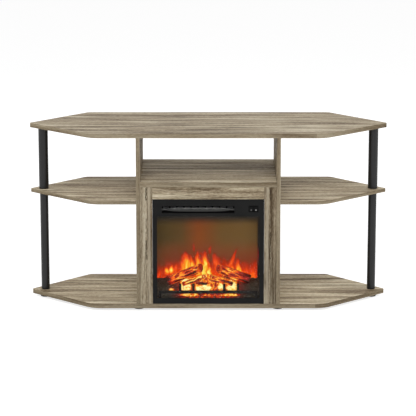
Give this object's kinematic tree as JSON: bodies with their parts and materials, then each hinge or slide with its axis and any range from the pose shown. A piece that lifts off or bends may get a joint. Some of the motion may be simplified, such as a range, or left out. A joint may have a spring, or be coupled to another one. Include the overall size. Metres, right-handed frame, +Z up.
{
  "type": "fireplace tv stand",
  "caption": "Low wide stand with pointed ends, open side shelves on round poles, a centre shelf and an electric fireplace insert between its uprights.",
  "frame": {"origin": "on the floor, under the middle of the stand", "axes": "+X to the stand's right as seen from the front, +Y to the back, +Z up"},
  "size_m": [1.2, 0.395, 0.6025],
  "materials": {
    "grey_oak": "wood-grain laminate, satin",
    "black_tube": "satin black tube",
    "black_plastic": "fine moulded texture",
    "zinc_steel": "zinc plated",
    "beech": "plain turned dowel",
    "bezel_black": "satin black paint",
    "louvre_grey": "satin grey paint",
    "window_glass": "clear, faintly tinted",
    "black_steel": "black painted sheet",
    "fin_aluminium": "bare",
    "circuit_green": "circuit board",
    "flame_film": "lit flame picture on a translucent sheet",
    "ember_resin": "lit translucent moulded resin",
    "bark_resin": "painted moulded resin, lit from below",
    "cast_iron": "matt black"
  },
  "bodies": {
    "stand": {"top_panel": "grey_oak", "bottom_panel": "grey_oak", "left_upright": "grey_oak", "right_upright": "grey_oak", "centre_shelf": "grey_oak", "left_side_shelf": "grey_oak", "right_side_shelf": "grey_oak", "left_stile": "grey_oak", "right_stile": "grey_oak", "header_rail": "grey_oak", "left_upper_pole": "black_tube", "left_lower_pole": "black_tube", "right_upper_pole": "black_tube", "right_lower_pole": "black_tube", "left_end_foot": "black_plastic", "right_end_foot": "black_plastic", "front_left_foot": "black_plastic", "front_right_foot": "black_plastic", "rear_left_foot": "black_plastic", "rear_right_foot": "black_plastic", "flame_switch_body": "black_plastic", "heater_switch_body": "black_plastic", "cord_gland": "black_plastic", "left_middle_stud": "zinc_steel", "right_middle_stud": "zinc_steel", "left_top_stud": "zinc_steel", "right_top_stud": "zinc_steel", "front_left_screw": "zinc_steel", "front_right_screw": "zinc_steel", "rear_left_screw": "zinc_steel", "rear_right_screw": "zinc_steel", "left_bracket": "zinc_steel", "right_bracket": "zinc_steel", "front_left_dowel": "beech", "front_right_dowel": "beech", "rear_left_dowel": "beech", "rear_right_dowel": "beech", "front_bezel": "bezel_black", "control_plate": "bezel_black", "vent_louvre": "louvre_grey", "window_glass": "window_glass", "firebox_housing": "black_steel", "rear_cover": "black_steel", "blower_housing": "black_steel", "blower_motor": "black_steel", "flame_motor": "black_steel", "heater_element": "fin_aluminium", "light_board": "circuit_green", "control_board": "circuit_green", "flame_screen": "flame_film", "ember_bed": "ember_resin", "left_log": "bark_resin", "right_log": "bark_resin", "front_left_log": "bark_resin", "front_right_log": "bark_resin", "fire_grate": "cast_iron"},
    "blower_rotor": {"blower_rotor": "fin_aluminium"},
    "flame_reflector": {"flame_reflector": "fin_aluminium"},
    "flame_rocker": {"flame_rocker": "black_plastic"},
    "heater_rocker": {"heater_rocker": "black_plastic"}
  },
  "joints": [
    {"name": "blower_spin", "type": "hinge", "parent": "stand", "child": "blower_rotor", "pos_m": [-0.0335, -0.1405, 0.35475], "axis": [1, 0, 0], "continuous": true},
    {"name": "reflector_spin", "type": "hinge", "parent": "stand", "child": "flame_reflector", "pos_m": [0, -0.0615, 0.071], "axis": [1, 0, 0], "continuous": true},
    {"name": "flame_rocker_tilt", "type": "hinge", "parent": "stand", "child": "flame_rocker", "pos_m": [0.1415, -0.189, 0.35], "axis": [1, 0, 0], "range_deg": [0, 14]},
    {"name": "heater_rocker_tilt", "type": "hinge", "parent": "stand", "child": "heater_rocker", "pos_m": [0.1575, -0.189, 0.35], "axis": [1, 0, 0], "range_deg": [0, 14]}
  ]
}
